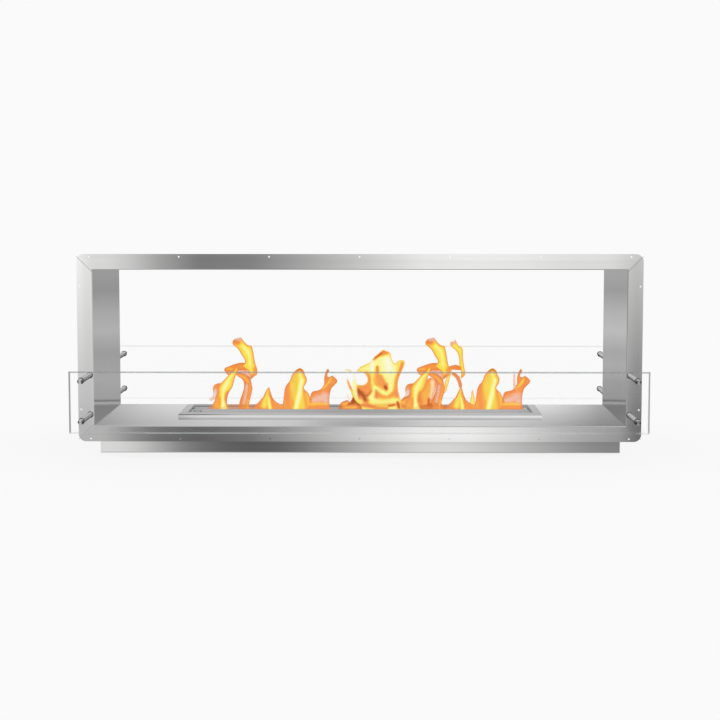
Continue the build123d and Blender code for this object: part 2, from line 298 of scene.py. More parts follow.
def turned_steel(name, darken=None):
    """Polished bar steel with faint turning rings across its length, which runs along Y."""
    material, shader = new_material(name)
    rings = shader.noise((60, 2600, 60), detail=1.0)
    smudge = shader.noise((35, 35, 35), detail=2.0)
    colour = shader.blend(smudge.spread(0.3, 0.7), grey(0.754), grey(0.82))
    shader.surface(
        Base_Color=darkened(shader, colour, darken),
        Metallic=1.0,
        Roughness=0.07 + (rings - 0.5) * 0.04 + (smudge - 0.5) * 0.04,
        Normal=shader.bump(rings, 0.00001, 0.3),
    )
    return material


def mill_steel(name):
    """Unpolished sheet steel as it comes from the mill, with a soft grey mottle."""
    material, shader = new_material(name)
    mottle = shader.noise((28, 28, 28), detail=4.0)
    grain = shader.noise((900, 900, 900), detail=2.0)
    shader.surface(
        Base_Color=shader.blend(mottle.spread(0.3, 0.7), (0.52, 0.52, 0.51), (0.64, 0.64, 0.63)),
        Metallic=1.0,
        Roughness=0.36 + (mottle - 0.5) * 0.2,
        Normal=shader.bump(grain, 0.00002, 0.3),
    )
    return material


glass_low, glass_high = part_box("front_glass")
ground_edge_width = 4.6 * MM
# How far from the middle of the front glass the camera sees the side flanges through it.
flanges_start = (0.56, 0.64)
flanges_end = (0.725, 0.735)


def guard_glass(name, haze, left, right, bottom, top, foot_ends=1.0):
    """Clear toughened glass that shows only its ground edges, each by how much light it stops.

    foot_ends is the share of the bottom edge that still shows in front of the side flanges.
    """
    material, shader = new_material(name)
    across, _, height = shader.axes()

    def edge(inward, strength):
        """Strength on the ground edge and 0 inside it."""
        return inward.spread(ground_edge_width * 0.7, ground_edge_width, strength, 0.0)

    flanges = abs(across).spread(*flanges_start) * abs(across).spread(*flanges_end, 1.0, 0.0)
    foot = edge(height - glass_low.z, bottom) * (1.0 - flanges * (1.0 - foot_ends))
    edges = edge(across - glass_low.x, left).larger(edge(glass_high.x - across, right))
    edges = edges.larger(foot).larger(edge(glass_high.z - height, top))
    ground = edges.spread(0.0, 0.2) - foot.spread(0.0, bottom, 0.0, 0.6)
    frost = shader.noise((600, 600, 600), detail=2.0)
    shader.surface(
        Base_Color=shader.blend(ground, (0.82, 0.88, 0.86), (0.30, 0.33, 0.32)),
        Roughness=0.06 + ground * (0.3 + (frost - 0.5) * 0.15),
        IOR=1.5,
        Alpha=haze + edges,
    )
    return material


def rubber_pad():
    """Black rubber washers, a little dusty."""
    material, shader = new_material("rubber_pad")
    dust = shader.noise((220, 220, 220), detail=2.0)
    shader.surface(
        Base_Color=shader.blend(dust.spread(0.3, 0.7), grey(0.02), grey(0.05)),
        Roughness=0.6 + (dust - 0.5) * 0.2,
        Normal=shader.bump(dust, 0.0001, 0.3),
    )
    return material


def ceramic_wool():
    """Matte white ceramic fibre, lumpy and felted."""
    material, shader = new_material("ceramic_wool")
    fibres = shader.noise((260, 700, 260), detail=5.0, roughness=0.7)
    lumps = shader.noise((40, 40, 40), detail=3.0)
    shader.surface(
        Base_Color=shader.blend(fibres.spread(0.3, 0.7), (0.74, 0.72, 0.67), (0.93, 0.92, 0.89)),
        Roughness=0.95,
        Normal=shader.bump(fibres * 0.6 + lumps, 0.002, 0.6),
    )
    return material


def fire_gasket():
    """Matte pale woven fibre."""
    material, shader = new_material("fire_gasket")
    weave = shader.noise((900, 900, 900), detail=2.0)
    shader.surface(
        Base_Color=shader.blend(weave.spread(0.3, 0.7), (0.62, 0.61, 0.57), (0.86, 0.85, 0.80)),
        Roughness=0.9,
        Normal=shader.bump(weave, 0.0004, 0.6),
    )
    return material


def flame_glow():
    """Glow that follows two values kept in the mesh: the flame's warmth and how much it covers."""
    material, shader = new_material("flame_glow")
    warmth = shader.add("ShaderNodeAttribute", {"attribute_name": "warmth"}, output="Fac")
    cover = shader.add("ShaderNodeAttribute", {"attribute_name": "cover"}, output="Fac")
    wisps = shader.noise((55, 55, 16), detail=3.0, roughness=0.55)
    colours = shader.ramp(
        warmth + (wisps - 0.5) * 0.16,
        [
            (0.0, (0.36, 0.055, 0.010)),
            (0.14, (0.52, 0.115, 0.014)),
            (0.28, (0.78, 0.24, 0.045)),
            (0.36, (0.90, 0.27, 0.070)),
            (0.44, (0.94, 0.32, 0.065)),
            (0.58, (0.95, 0.50, 0.060)),
            (0.74, (0.93, 0.72, 0.085)),
            (0.88, (0.96, 0.88, 0.20)),
            (1.0, (0.97, 0.95, 0.46)),
        ],
    )
    veil = (cover + (wisps - 0.5) * cover * (1.0 - cover)).spread(0.0, 1.0)
    shader.surface(
        Base_Color=black,
        Roughness=1.0,
        Specular_IOR_Level=0.0,
        Emission_Color=colours,
        Emission_Strength=1.0,
        Alpha=veil,
    )
    return material


long_sheet = brushed_steel("casing_steel_along", (0.82, 0.82, 0.815), 0.03, run=0)
# The two walls are one steel in two tints: painted light makes the left wall's copy lighter, and painted
# shade makes the right wall's darker.
left_wall_lit_sheet = brushed_steel("left_wall_lit_steel", (0.87, 0.87, 0.865), 0.025, run=2)
right_wall_shaded_sheet = brushed_steel("right_wall_shaded_steel", (0.75, 0.75, 0.745), 0.025, run=2)
base_sheet = brushed_steel("base_steel_along", (0.80, 0.80, 0.795), 0.03, run=0, lean=0.010)
base_end_sheet = brushed_steel("base_steel_across", (0.80, 0.80, 0.795), 0.17, run=1)
rim_sheet = brushed_steel(
    "rim_steel_along", grey(0.90), 0.03, run=0, grazing=0.70, lean=-0.014, darken=rim_shade
)
deck_sheet = brushed_steel("deck_steel_along", (0.56, 0.565, 0.565), 0.14, run=0, grazing=0.72)
lid_sheet = brushed_steel("lid_steel_along", (0.56, 0.565, 0.565), 0.16, run=0, grazing=0.80)
tank_sheet = mill_steel("tank_steel")
bar_steel = turned_steel("fastener_steel")
pad_rubber = rubber_pad()
front_pane = guard_glass(
    "front_guard_glass", 0.012, left=0.70, right=0.55, bottom=0.24, top=0.42, foot_ends=0.1
)
rear_pane = guard_glass("rear_guard_glass", 0.008, left=0.14, right=0.14, bottom=0.10, top=0.12)

finishes = {
    "ceiling_panel": long_sheet,
    "floor_panel": long_sheet,
    "left_wall": left_wall_lit_sheet,
    "right_wall": right_wall_shaded_sheet,
    "base_channel": base_sheet,
    "base_end_left": base_end_sheet,
    "base_end_right": base_end_sheet,
    "burner_gasket": fire_gasket(),
    "overflow_tray": tank_sheet,
    "fuel_tank": tank_sheet,
    "fuel_wool": ceramic_wool(),
    "wool_screen": tank_sheet,
    "burner_deck": deck_sheet,
    "burner_rim": rim_sheet,
    "snuffer_lid": lid_sheet,
    "front_glass": front_pane,
    "rear_glass": rear_pane,
    "standoff_barrels": turned_steel("barrel_steel", darken=barrel_shade),
    "standoff_caps": turned_steel("cap_steel", darken=cap_shade),
    "standoff_studs": bar_steel,
    "inner_glass_pads": pad_rubber,
    "outer_glass_pads": pad_rubber,
    "flange_washers": bar_steel,
    "flange_nuts": bar_steel,
}
for node_name, finish in finishes.items():
    for material_slot in nodes[node_name].material_slots:
        material_slot.material = finish
    nodes[node_name].visible_glossy = False  # the steel shows the studio's screens alone


# Trim

ring_radius = 7.4 * MM
ring_thickness = 1.3 * MM
ring_sides = 32
ring_tube_sides = 10
flange_width = 42.5 * MM
seam_half_width = 0.45 * MM
seam_stand = 0.2 * MM
seam_middle = (-0.2, 0.2)  # along X, where a seam's look changes from left to right
seam_low = (0.2, 0.4)  # heights between the lower seams and the upper ones
seam_right_pale, seam_low_pale = 0.45, 0.9
seam_faces = [(0, 1, 5, 4), (1, 2, 6, 5), (2, 3, 7, 6), (3, 0, 4, 7), (3, 2, 1, 0), (4, 5, 6, 7)]


def joint_shade():
    """The dark line where two mitred flanges meet: the joint, with painted shade in its gap, paler on the
    right and palest at the lower left.
    """
    material, shader = new_material("mitre_joint")
    grain = shader.noise((500, 500, 500), detail=2.0)
    x, _, z = shader.axes()
    right = x.spread(*seam_middle)
    low = z.spread(*seam_low, 1.0, 0.0)
    paler = right * seam_right_pale + (1.0 - right) * low * seam_low_pale
    dark = shader.blend(grain.spread(0.3, 0.7), grey(0.06), grey(0.12))
    shader.surface(
        Base_Color=shader.blend(paler, dark, grey(0.38)),
        Roughness=0.5 + (grain - 0.5) * 0.2,
    )
    return material


def add_trim(name, points, faces, material, slot, smooth):
    """Add one piece that rides on the fireplace."""
    mesh = bpy.data.meshes.new(name)
    mesh.from_pydata(points, [], faces)
    mesh.polygons.foreach_set("use_smooth", [smooth] * len(faces))
    mesh.materials.append(material)
    piece = bpy.data.objects.new(name, mesh)
    bpy.context.scene.collection.objects.link(piece)
    piece.visible_glossy = False
    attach(piece, "fireplace")


def rings(centres):
    """Dark rings that lie across Y, one round each centre, put round the standoffs' ends as painted shade.
    """
    points, faces = [], []
    for centre in centres:
        start = len(points)
        for i in range(ring_sides):
            turn = 2 * math.pi * i / ring_sides
            for j in range(ring_tube_sides):
                roll = 2 * math.pi * j / ring_tube_sides
                reach = ring_radius + ring_thickness * math.cos(roll)
                shift = (reach * math.cos(turn), ring_thickness * math.sin(roll), reach * math.sin(turn))
                points.append(centre + Vector(shift))
        for i in range(ring_sides):
            for j in range(ring_tube_sides):
                beyond, above = (i + 1) % ring_sides, (j + 1) % ring_tube_sides
                corners = ((i, j), (beyond, j), (beyond, above), (i, above))
                faces.append([start + a * ring_tube_sides + b for a, b in corners])
    return points, faces


barrels_low, barrels_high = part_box("standoff_barrels")
flange_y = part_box("floor_panel")[1].y  # of the rear flange, as far back as the front one is forward
# Painted shade: dark rings in the black pad finish round both ends of each barrel.
for name, y in (
    ("flange_end_shade_rings", flange_y + ring_thickness),
    ("glass_end_shade_rings", barrels_high.y - ring_thickness),
):
    centres = [
        Vector((x, side * y, z))
        for side in (-1, 1)
        for x in (barrels_low.x + standoff_radius, barrels_high.x - standoff_radius)
        for z in (barrels_low.z + standoff_radius, barrels_high.z - standoff_radius)
    ]
    add_trim(name, *rings(centres), pad_rubber, "rubber_pad", smooth=True)


def mitre_seams():
    """A slim dark bar across each corner of the front flange, from the outer corner to the inner one: the
    mitre joint, darkened with painted shade.
    """
    low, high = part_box("left_wall")[0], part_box("right_wall")[1]
    points, faces = [], []
    for inward_x, inward_z, x, z in (
        (1, 1, low.x, low.z),
        (-1, 1, high.x, low.z),
        (-1, -1, high.x, high.z),
        (1, -1, low.x, high.z),
    ):
        start = len(points)
        for reach in (seam_half_width, flange_width - seam_half_width):
            for half, stand in ((-1, 0), (-1, seam_stand), (1, seam_stand), (1, 0)):
                aside = half * seam_half_width * math.sqrt(0.5)
                at_x = x + inward_x * reach - inward_z * aside
                at_z = z + inward_z * reach + inward_x * aside
                points.append((at_x, -flange_y - stand, at_z))
        faces.extend([start + corner for corner in face] for face in seam_faces)
    return points, faces


add_trim("mitre_seams", *mitre_seams(), joint_shade(), "casing_steel", smooth=False)


# Flames

# Each flame is a closed outline of (x along the fire, height) points in millimetres, rounded into a lens
# across the slot, depth in front of the slot's middle. warmth is its glow from dark red, 0, to pale yellow,
# 1, and rim is that of its edge. cover is how much it hides what lies behind it.
# A streak is (warmth, half width, points), a line along which the glow changes. Where it changes the cover
# too, it is (warmth, cover, half width, points).
flame_pair = {
    "neck": dict(
        depth=4, warmth=0.80, rim=0.30,
        outline=[
            (-365, 284), (-366, 292), (-359, 300), (-349, 303), (-341, 304), (-336, 296), (-329, 288),
            (-322, 282), (-312, 280), (-309, 271), (-306, 258), (-304, 243), (-301, 229), (-297, 217),
            (-295, 206), (-297, 197), (-303, 193), (-309, 188), (-313, 184), (-316, 190), (-318, 198),
            (-322, 207), (-330, 214), (-340, 222), (-333, 230), (-330, 236), (-333, 243), (-339, 252),
            (-345, 263), (-351, 272), (-358, 278),
        ],
        streaks=[
            (0.92, 8, [(-336, 280), (-322, 266), (-316, 245), (-317, 228)]),
            (0.36, 13, [(-358, 292), (-350, 290)]),
            (0.26, 0.6, 8, [(-354, 299), (-342, 301)]),
            (0.50, 10, [(-303, 214), (-302, 203)]),
            (0.36, 8, [(-308, 196), (-313, 187)]),
        ],
    ),
    "arch": dict(
        depth=0, warmth=0.46, rim=0.24,
        outline=[
            (-391, 211), (-387, 217), (-377, 221), (-364, 226), (-350, 230), (-336, 231), (-322, 226),
            (-312, 222), (-309, 214), (-318, 210), (-335, 210), (-352, 209), (-366, 206), (-378, 208),
            (-388, 206),
        ],
        streaks=[(0.64, 8, [(-382, 212), (-370, 213)])],
    ),
    "arch_root": dict(
        depth=-1, warmth=0.56, rim=0.34,
        outline=[(-388, 206), (-378, 209), (-366, 207), (-364, 200), (-373, 194), (-384, 198)],
    ),
    "belly_veil": dict(
        depth=-3, warmth=0.34, rim=0.34, cover=0.68,
        outline=[
            (-355, 208), (-335, 210), (-312, 209), (-300, 206), (-297, 198), (-305, 192), (-314, 186),
            (-322, 182), (-330, 190), (-342, 198), (-354, 203),
        ],
    ),
    "left_leg": dict(
        depth=6, warmth=0.74, rim=0.30,
        outline=[
            (-355, 222), (-350, 212), (-352, 203), (-358, 192), (-362, 180), (-365, 168), (-369, 158),
            (-375, 149), (-380, 139), (-382, 128), (-383, 116), (-380, 104), (-379, 94), (-421, 94),
            (-424, 110), (-420, 119), (-416, 130), (-412, 143), (-409, 155), (-405, 166), (-400, 173),
            (-393, 180), (-386, 187), (-380, 194), (-372, 202), (-363, 209),
        ],
        streaks=[
            (0.42, 10, [(-381, 145), (-385, 130), (-386, 116)]),
            (0.52, (8, 14, 18, 22), [(-408, 150), (-410, 132), (-411, 118), (-413, 98)]),
            (0.42, 6, [(-404, 130), (-404, 108)]),
            (0.96, (6, 9, 12, 14, 12, 7, 6, 9, 13), [
                (-355, 220), (-364, 205), (-376, 190), (-383, 173), (-391, 158), (-394, 143),
                (-394, 126), (-392, 112), (-391, 98),
            ]),
            (1.0, (4, 10, 14), [(-394, 124), (-392, 110), (-391, 96)]),
        ],
    ),
    "left_wisp": dict(
        depth=2, warmth=0.42, rim=0.30,
        outline=[
            (-399, 171), (-409, 172), (-418, 168), (-423, 160), (-424, 150), (-423, 141), (-428, 132),
            (-435, 125), (-429, 121), (-419, 126), (-411, 136), (-408, 150), (-404, 160),
        ],
        streaks=[(0.30, 0.42, 22, [(-430, 125), (-418, 142)])],
    ),
    "right_leg": dict(
        depth=-2, warmth=0.42, rim=0.27,
        outline=[
            (-356, 198), (-350, 190), (-344, 187), (-338, 181), (-335, 174), (-334, 164), (-336, 153),
            (-340, 140), (-345, 127), (-348, 114), (-349, 94), (-320, 94), (-320, 112), (-318, 122),
            (-315, 134), (-312, 146), (-310, 157), (-312, 167), (-314, 178), (-316, 187), (-324, 193),
            (-334, 199), (-346, 203),
        ],
        streaks=[
            (0.34, 0.66, 7, [(-326, 166), (-329, 146), (-335, 114)]),
            (0.62, 6, [(-350, 196), (-334, 190), (-321, 176)]),
            (0.60, (6, 8, 9, 9), [(-315, 168), (-315, 148), (-320, 122), (-324, 98)]),
            (0.84, 5, [(-321, 122), (-322, 98)]),
        ],
    ),
    "small_peak": dict(
        depth=3, warmth=0.46, rim=0.28,
        outline=[
            (-262, 161), (-259, 151), (-256, 141), (-253, 133), (-249, 126), (-243, 120), (-234, 114),
            (-222, 110), (-205, 107), (-205, 94), (-302, 94), (-301, 108), (-297, 114), (-291, 119),
            (-286, 126), (-280, 132), (-276, 140), (-272, 149), (-268, 156),
        ],
        streaks=[
            (0.80, (4, 12, 17, 15), [(-264, 156), (-268, 140), (-274, 124), (-276, 108)]),
            (0.66, 5, [(-246, 118), (-226, 106)]),
            (1.00, (4, 7, 9), [(-263, 132), (-261, 114), (-259, 97)]),
        ],
    ),
    "wide_peak": dict(
        depth=2, warmth=0.68, rim=0.28,
        outline=[
            (-174, 216), (-167, 213), (-162, 206), (-159, 196), (-154, 186), (-155, 175), (-160, 166),
            (-163, 159), (-157, 151), (-151, 146), (-147, 137), (-142, 128), (-140, 94), (-225, 94),
            (-223, 112), (-221, 128), (-219, 144), (-217, 157), (-212, 168), (-205, 176), (-200, 186),
            (-197, 195), (-192, 203), (-184, 211),
        ],
        streaks=[
            (0.42, (10, 17, 20, 20), [(-208, 170), (-209, 148), (-208, 126), (-206, 100)]),
            (0.50, 12, [(-195, 118), (-194, 98)]),
            (0.86, (9, 13, 12), [(-174, 202), (-169, 182), (-173, 160)]),
            (0.24, 8, [(-188, 209), (-174, 214), (-163, 208)]),
            (0.48, (6, 10, 10), [(-163, 150), (-157, 130), (-154, 100)]),
            (0.72, 5, [(-158, 152), (-150, 136), (-145, 118)]),
            (1.00, (7, 11, 12, 12, 12), [
                (-167, 182), (-172, 155), (-177, 135), (-182, 115), (-186, 98),
            ]),
        ],
    ),
    "forked": dict(
        depth=5, warmth=0.44, rim=0.28,
        outline=[
            (-101, 201), (-98, 209), (-94, 214), (-90, 211), (-90, 206), (-94, 201), (-95, 194), (-93, 191),
            (-86, 192), (-82, 195), (-77, 192), (-71, 187), (-66, 180), (-70, 172), (-77, 165), (-83, 158),
            (-86, 150), (-88, 140), (-89, 128), (-89, 110), (-90, 94), (-150, 94), (-150, 120), (-144, 133),
            (-142, 143), (-137, 149), (-128, 151), (-120, 153), (-112, 158), (-107, 165), (-104, 173),
            (-104, 185), (-103, 195),
        ],
        streaks=[
            (0.34, 0.62, (15, 19, 18, 16), [(-134, 124), (-118, 128), (-101, 136), (-99, 118)]),
            (0.20, 5, [(-96, 213), (-93, 208)]),
            (0.72, 5, [(-108, 158), (-98, 168), (-88, 180), (-84, 190)]),
            (0.66, 1.0, 6, [(-148, 113), (-118, 115), (-92, 112)]),
            (0.42, 1.0, 8, [(-148, 100), (-118, 102), (-92, 98)]),
        ],
    ),
    "low_veil": dict(
        depth=8, warmth=0.30, rim=0.30, cover=0.5,
        outline=[
            (-432, 94), (-432, 108), (-415, 111), (-380, 112), (-350, 112), (-320, 111), (-300, 112),
            (-290, 94),
        ],
    ),
}
middle_flames = {
    "sail": dict(
        depth=0, warmth=0.92, rim=0.62, cover=0.92,
        outline=[
            (-11, 168), (-5, 168), (5, 167), (13, 170), (19, 176), (20, 184), (18, 192), (12, 199),
            (4, 204), (-4, 206), (-13, 207), (-7, 213), (0, 220), (10, 225), (20, 229), (28, 235),
            (34, 241), (40, 249), (50, 257), (58, 264), (65, 269), (72, 266), (80, 263), (86, 258),
            (88, 249), (91, 240), (96, 231), (101, 230), (106, 236), (114, 239), (123, 239), (127, 231),
            (124, 220), (119, 209), (114, 198), (110, 187), (107, 174), (107, 160), (109, 147), (112, 136),
            (115, 126), (120, 112), (122, 94), (-14, 94), (-10, 110), (-7, 124), (-10, 138), (-12, 153),
        ],
        streaks=[
            (0.99, 0.50, 20, [(78, 236), (82, 212)]),
            (0.97, 0.40, 9, [(32, 236), (34, 222), (32, 211)]),
            (0.64, 5, [(-12, 210), (0, 219), (16, 227)]),
            (0.43, 1.0, (12, 16, 24, 28), [(18, 200), (27, 184), (24, 166), (8, 157)]),
            (0.44, 1.0, 22, [(2, 154), (26, 152)]),
            (0.58, 9, [(14, 202), (30, 199)]),
            (0.36, 1.0, 10, [(-9, 158), (-7, 130)]),
            (0.07, 1.0, (11, 17, 20, 15), [(-6, 151), (2, 143), (10, 134), (14, 124)]),
            (0.18, 1.0, 6, [(16, 135), (24, 142), (33, 152)]),
            (0.30, 1.0, 10, [(21, 122), (24, 113)]),
            (0.44, 1.0, (7, 11, 18, 26, 28, 24, 15), [
                (48, 220), (48, 208), (48, 196), (50, 184), (54, 174), (62, 166), (70, 159),
            ]),
            (0.52, 9, [(44, 184), (46, 168)]),
            (0.37, 9, [(58, 192), (66, 176), (74, 168)]),
            (0.30, 1.0, 6, [(48, 219), (48, 209)]),
            (0.04, 1.0, 9, [(71, 163), (74, 157)]),
            (0.42, 1.0, (20, 22, 20, 22), [(48, 141), (64, 136), (84, 138), (98, 146)]),
            (0.32, 9, [(45, 151), (46, 134)]),
            (0.78, (5, 7, 8, 8), [(34, 205), (33, 190), (34, 174), (38, 160)]),
            (0.94, (7, 9, 8), [(38, 158), (36, 142), (29, 129)]),
            (0.94, (6, 8, 10, 10, 10, 9, 9), [
                (41, 164), (54, 153), (66, 145), (75, 142), (85, 150), (90, 164), (92, 184),
            ]),
            (0.42, 1.0, (9, 11, 12, 14, 15, 15, 15), [
                (119, 230), (114, 212), (108, 196), (104, 180), (103, 162), (105, 146), (103, 136),
            ]),
            (0.74, 7, [(109, 227), (104, 210)]),
            (0.88, 10, [(28, 118), (60, 117), (102, 124)]),
            (0.60, 9, [(44, 109), (110, 112)]),
            (0.30, 1.0, 11, [(-4, 112), (14, 109), (38, 105)]),
            (0.34, 1.0, 7, [(44, 101), (76, 101)]),
            (0.14, 1.0, 6, [(82, 108), (98, 111)]),
            (0.05, 1.0, 7, [(106, 118), (110, 103)]),
            (0.44, 1.0, 11, [(58, 256), (76, 261)]),
            (0.34, 1.0, 10, [(38, 245), (54, 256), (66, 264)]),
            (0.10, 1.0, 6, [(38, 244), (50, 254), (58, 260)]),
        ],
    ),
    "left_blade": dict(
        depth=4, warmth=0.86, rim=0.56, cover=0.95,
        outline=[
            (-39, 188), (-33, 178), (-27, 165), (-20, 150), (-16, 138), (-8, 125), (2, 116), (-5, 110),
            (-15, 118), (-22, 130), (-27, 145), (-33, 160), (-38, 173),
        ],
        streaks=[(0.40, 5, [(-39, 186), (-35, 172), (-28, 156)])],
    ),
    "side_wisp": dict(
        depth=3, warmth=0.74, rim=0.70, cover=0.5,
        outline=[(-41, 144), (-36, 141), (-33, 133), (-30, 124), (-35, 124), (-38, 134)],
    ),
    "top_wisp": dict(
        depth=5, warmth=0.80, rim=0.70, cover=0.6,
        outline=[(-46, 211), (-38, 214), (-28, 212), (-25, 207), (-36, 207)],
    ),
    "pale_blade": dict(
        depth=6, warmth=0.98, rim=0.86, cover=0.80,
        outline=[
            (-22, 203), (-14, 204), (-12, 190), (-11, 170), (-11, 150), (-11, 138), (-4, 125), (6, 117),
            (0, 112), (-12, 122), (-19, 135), (-21, 150), (-22, 170), (-23, 188),
        ],
        streaks=[(0.98, 0.22, 20, [(-17, 210), (-17, 190)])],
    ),
    "left_cone": dict(
        depth=5, warmth=0.30, rim=0.20,
        outline=[
            (-20, 136), (-15, 127), (-8, 119), (0, 113), (0, 94), (-60, 94), (-58, 110), (-46, 112),
            (-35, 115), (-28, 122),
        ],
        streaks=[
            (0.10, 10, [(-20, 134), (-20, 118)]),
            (0.08, 6, [(-22, 126), (-34, 114)]),
            (0.08, 6, [(-18, 126), (-6, 114)]),
            (0.60, 7, [(-46, 105), (-14, 104)]),
        ],
    ),
    "left_base_flare": dict(
        depth=2, warmth=0.36, rim=0.24,
        outline=[
            (-60, 94), (-60, 110), (-54, 118), (-45, 122), (-38, 124), (-33, 120), (-28, 112), (-25, 94),
        ],
        streaks=[(0.66, 6, [(-52, 112), (-38, 116)])],
    ),
    "bridge": dict(
        depth=-2, warmth=0.36, rim=0.24,
        outline=[
            (104, 94), (105, 112), (108, 120), (113, 118), (118, 126), (126, 132), (134, 135), (142, 138),
            (148, 130), (150, 94),
        ],
        streaks=[
            (0.62, 10, [(113, 120), (124, 118)]),
            (0.62, 4, [(124, 124), (140, 128)]),
            (0.04, 5, [(146, 122), (142, 106)]),
            (0.04, 5, [(110, 118), (112, 104)]),
        ],
    ),
    "backing": dict(
        depth=-6, warmth=0.52, rim=0.34,
        outline=[
            (163, 94), (161, 118), (161, 135), (164, 148), (172, 153), (180, 160), (186, 170), (190, 181),
            (198, 187), (207, 186), (214, 180), (217, 170), (216, 158), (212, 145), (208, 130), (206, 115),
            (206, 94),
        ],
        streaks=[
            (0.34, 12, [(167, 142), (172, 116)]),
            (0.60, 0.6, 10, [(207, 178), (207, 152), (202, 132)]),
            (0.10, 6, [(196, 128), (194, 104)]),
            (0.16, 9, [(168, 104), (200, 100)]),
        ],
    ),
    "embers": dict(
        depth=-4, warmth=0.30, rim=0.22, cover=0.95,
        outline=[
            (165, 94), (164, 112), (180, 116), (200, 118), (222, 115), (238, 109), (244, 94),
        ],
        streaks=[(0.06, 6, [(186, 112), (206, 108)]), (0.50, 5, [(214, 104), (236, 101)])],
    ),
    "thin_neck": dict(
        depth=-5, warmth=0.84, rim=0.46,
        outline=[
            (256, 283), (257, 290), (262, 293), (267, 292), (270, 299), (273, 296), (276, 287), (281, 280),
            (288, 277), (292, 270), (293, 260), (293, 250), (294, 238), (296, 226), (298, 214), (300, 204),
            (299, 195), (294, 190), (289, 186), (286, 189), (288, 198), (288, 208), (286, 217), (283, 224),
            (283, 235), (282, 245), (279, 256), (274, 265), (267, 271), (260, 277),
        ],
        streaks=[(0.34, 0.7, 10, [(258, 286), (268, 292)]), (0.62, 6, [(296, 204), (292, 190)])],
    ),
    "thin_arch": dict(
        depth=-6, warmth=0.42, rim=0.28,
        outline=[
            (250, 216), (256, 221), (264, 224), (274, 225), (283, 222), (290, 216), (292, 210), (280, 210),
            (265, 211), (256, 211),
        ],
    ),
    "thin_leg": dict(
        depth=-6, warmth=0.88, rim=0.50, cover=0.95,
        outline=[
            (259, 221), (263, 214), (261, 205), (258, 194), (255, 182), (252, 170), (249, 160), (246, 150),
            (241, 143), (238, 150), (240, 165), (243, 178), (246, 188), (252, 198), (256, 210),
        ],
    ),
    "thin_strand": dict(
        depth=-6, warmth=0.42, rim=0.30,
        outline=[
            (260, 199), (267, 193), (273, 186), (278, 177), (281, 167), (284, 158), (291, 162), (290, 172),
            (287, 182), (283, 191), (275, 199), (266, 204),
        ],
    ),
    "spark": dict(
        depth=-6, warmth=0.86, rim=0.52, cover=0.9,
        outline=[
            (321, 155), (324, 145), (327, 133), (329, 120), (330, 108), (312, 108), (314, 120), (316, 132),
            (318, 145),
        ],
    ),
    "faint_spike": dict(
        depth=-4, warmth=0.44, rim=0.34, cover=0.5,
        outline=[
            (440, 207), (443, 195), (444, 180), (445, 160), (440, 150), (437, 165), (437, 185), (438, 200),
        ],
    ),
}

# Millimetres, like the outlines.
pair_shift = 551.5  # from the left group of flames to the same group on the right
slot_middle = 37.5
flame_foot = 94.6  # just above the deck
flame_grid = 3.0
flame_lift = 1.5
flame_half_thickness = 6.5
flame_round = 14.0  # how far in from its edge a flame grows thicker
rim_width = 5.0
shoulder_dim = 0.10  # warmth lost on the rounded part


def smooth_loop(points):
    """Places on a smooth closed curve through the points, about one flame_grid apart."""
    found = []
    for index in range(len(points)):
        a, b, c, d = (Vector(points[(index + k) % len(points)]) for k in (-1, 0, 1, 2))
        steps = max(1, round((c - b).length / flame_grid))
        for t in (step / steps for step in range(steps)):
            bend = (2 * a - 5 * b + 4 * c - d) * t**2 + (3 * b - a - 3 * c + d) * t**3
            found.append(0.5 * (2 * b + (c - a) * t + bend))
    return [Vector((x, max(flame_foot, height + flame_lift))) for x, height in found]


def nearness(places, line, half_width):
    """1 on the line and 0 from half_width away, which may change from point to point of the line."""
    line = np.array(line, float)
    widths = np.broadcast_to(half_width, len(line))
    ratio = np.ones(len(places))
    for start, end, start_width, end_width in zip(line, line[1:], widths, widths[1:]):
        run = end - start
        along = np.clip((places - start) @ run / max(run @ run, 1e-9), 0, 1)
        off = np.linalg.norm(places - start - along[:, None] * run, axis=1)
        ratio = np.minimum(ratio, off / (start_width + along * (end_width - start_width)))
    near = 1 - ratio
    return near * near * (3 - 2 * near)


def inside(places, loop):
    """Whether each place lies inside the loop."""
    crossings = np.zeros(len(places), int)
    for (x0, z0), (x1, z1) in zip(loop, loop[1:] + loop[:1]):
        spans = (z0 <= places[:, 1]) != (z1 <= places[:, 1])
        rise = z1 - z0 or 1.0
        crossings += spans & (places[:, 0] < x0 + (places[:, 1] - z0) * (x1 - x0) / rise)
    return crossings % 2 == 1


def filled(loop):
    """The places and the triangles of a flat sheet that fills the loop with an even grid."""
    low = np.min(loop, axis=0)
    high = np.max(loop, axis=0)
    grid = np.array([
        (x + flame_grid / 2 * (row % 2), height)
        for row, height in enumerate(np.arange(low[1], high[1], flame_grid * 0.87))
        for x in np.arange(low[0], high[0], flame_grid)
    ])
    clear = nearness(grid, loop + loop[:1], flame_grid * 0.6) == 0
    filling = [Vector(place) for place in grid[inside(grid, loop) & clear]]
    flat = delaunay_2d_cdt(loop + filling, [], [list(range(len(loop)))], 1, 1e-5)
    return np.array([tuple(place) for place in flat[0]]), flat[2]


def glow_and_veil(places, border, warmth, rim, cover, streaks):
    """The warmth and the cover of a flame at each place."""
    glow = np.full(len(places), float(warmth))
    veil = np.full(len(places), float(cover))
    for streak_warmth, *new_cover, half_width, line in streaks:
        lifted = [(x, height + flame_lift) for x, height in line]
        share = nearness(places, lifted, half_width)
        glow += (streak_warmth - glow) * share
        if new_cover:
            veil += (new_cover[0] - veil) * share
    edge = nearness(places, border, rim_width)
    shoulder = nearness(places, border, flame_round)
    glow += (rim - glow) * edge - shoulder_dim * shoulder * (1 - edge)
    one_side = 1 - np.sqrt(np.clip(1 - veil, 0, 1))  # the front and the back add up to the cover
    return glow, one_side


